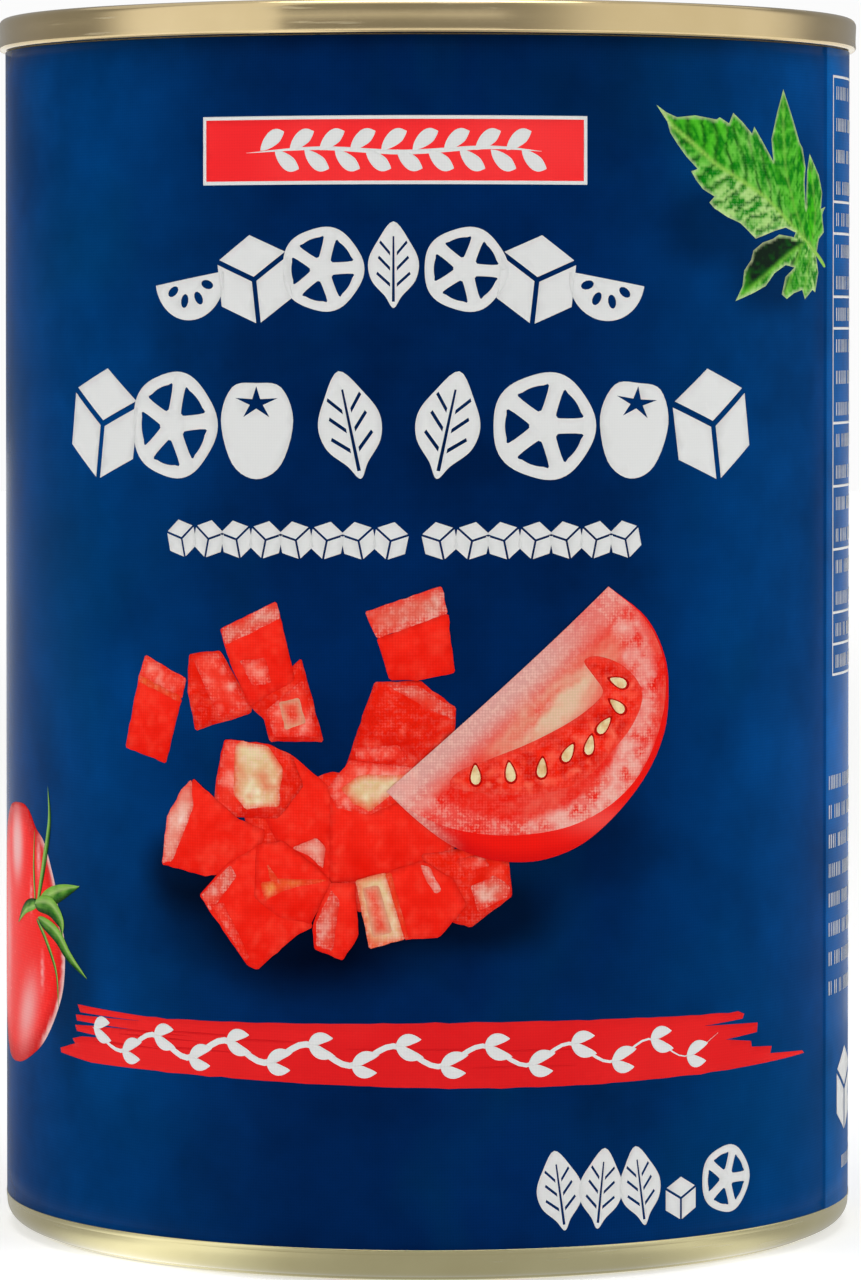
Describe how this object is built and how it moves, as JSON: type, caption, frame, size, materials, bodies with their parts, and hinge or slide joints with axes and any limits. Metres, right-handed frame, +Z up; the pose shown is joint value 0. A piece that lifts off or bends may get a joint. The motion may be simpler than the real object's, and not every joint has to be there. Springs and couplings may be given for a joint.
{
  "type": "tin of chopped tomatoes",
  "caption": "Closed round food tin with a drawn gold-lacquered body, a wrapped paper label and a seamed end with a ring pull.",
  "frame": {"origin": "centre of the tin on the surface that its foot ring stands on", "axes": "+Z up along the tin's axis; the front of the label faces -Y; +X to the right of the front"},
  "size_m": [0.0762, 0.0762, 0.1067],
  "materials": {
    "lacquered_body": "satin pale gold lacquer on drawn tinplate",
    "printed_paper": "satin varnish over a deep blue offset print",
    "lacquered_end": "satin beige gold lacquer on pressed tinplate",
    "lacquered_tab": "satin beige gold lacquer on curled sheet"
  },
  "bodies": {
    "root": {"can_body": "lacquered_body", "label": "printed_paper", "top_end": "lacquered_end", "ring_pull": "lacquered_tab"}
  },
  "joints": []
}
